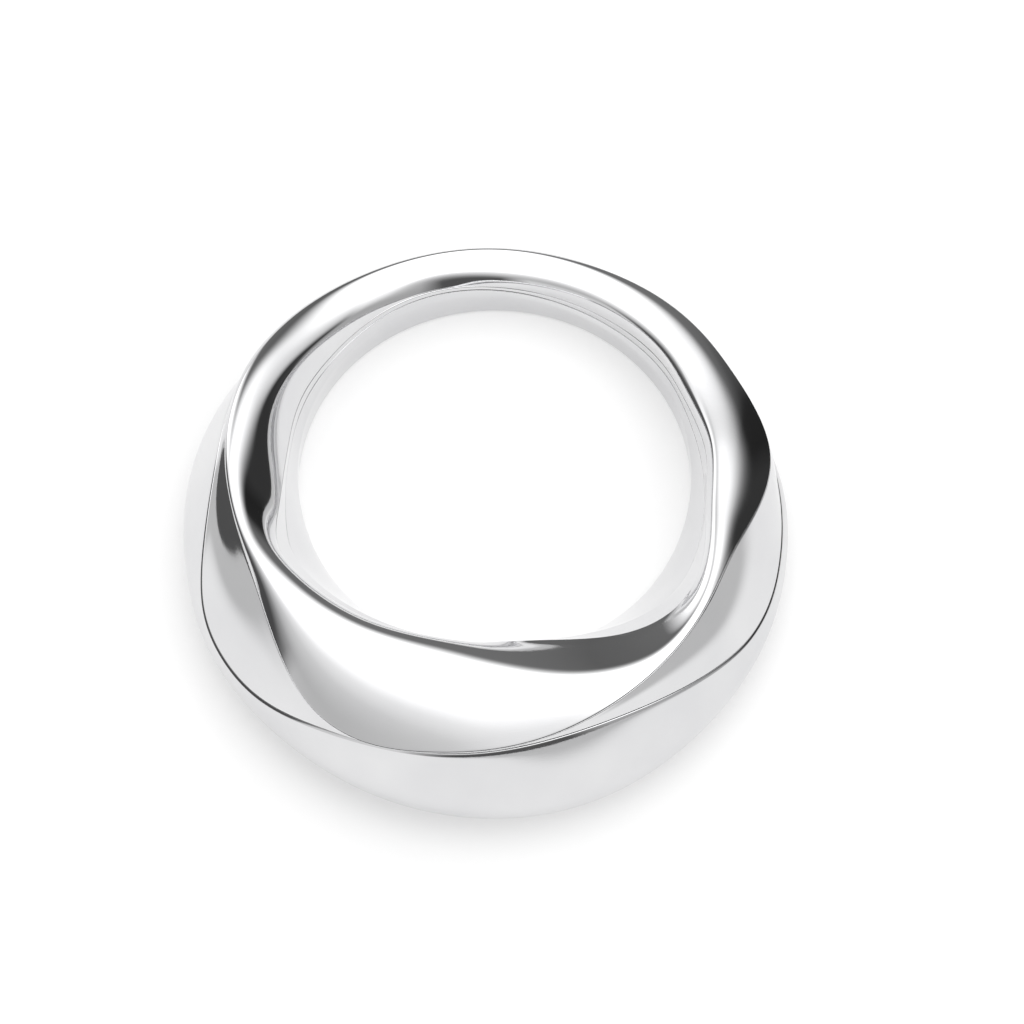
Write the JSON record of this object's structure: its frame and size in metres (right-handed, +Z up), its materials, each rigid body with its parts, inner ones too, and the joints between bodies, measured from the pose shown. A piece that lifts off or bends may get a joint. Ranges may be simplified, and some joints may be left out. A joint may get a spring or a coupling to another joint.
{
  "type": "nested ring disentanglement puzzle",
  "caption": "Flat-lying nest of twisted, mirror-polished metal puzzle rings that share wavy seams round one round bore and lift apart one after another.",
  "frame": {"origin": "on the axis of the round bore, in the plane that the nest rests on", "axes": "+Z up along the bore axis; -Y towards the wide, bulging front; +X to the right when seen from that front"},
  "size_m": [0.0605, 0.0621, 0.0158],
  "materials": {
    "polished_metal": "mirror polished with faint hairline scratches"
  },
  "bodies": {
    "lower": {"lower_ring": "polished_metal"},
    "middle": {"middle_ring": "polished_metal"},
    "upper": {"upper_ring": "polished_metal"}
  },
  "joints": [
    {"name": "middle_lift", "type": "slide", "parent": "lower", "child": "middle", "axis": [0, 0, 1], "range_m": [0, 0.02]},
    {"name": "upper_lift", "type": "slide", "parent": "middle", "child": "upper", "axis": [0, 0, 1], "range_m": [0, 0.02]}
  ]
}
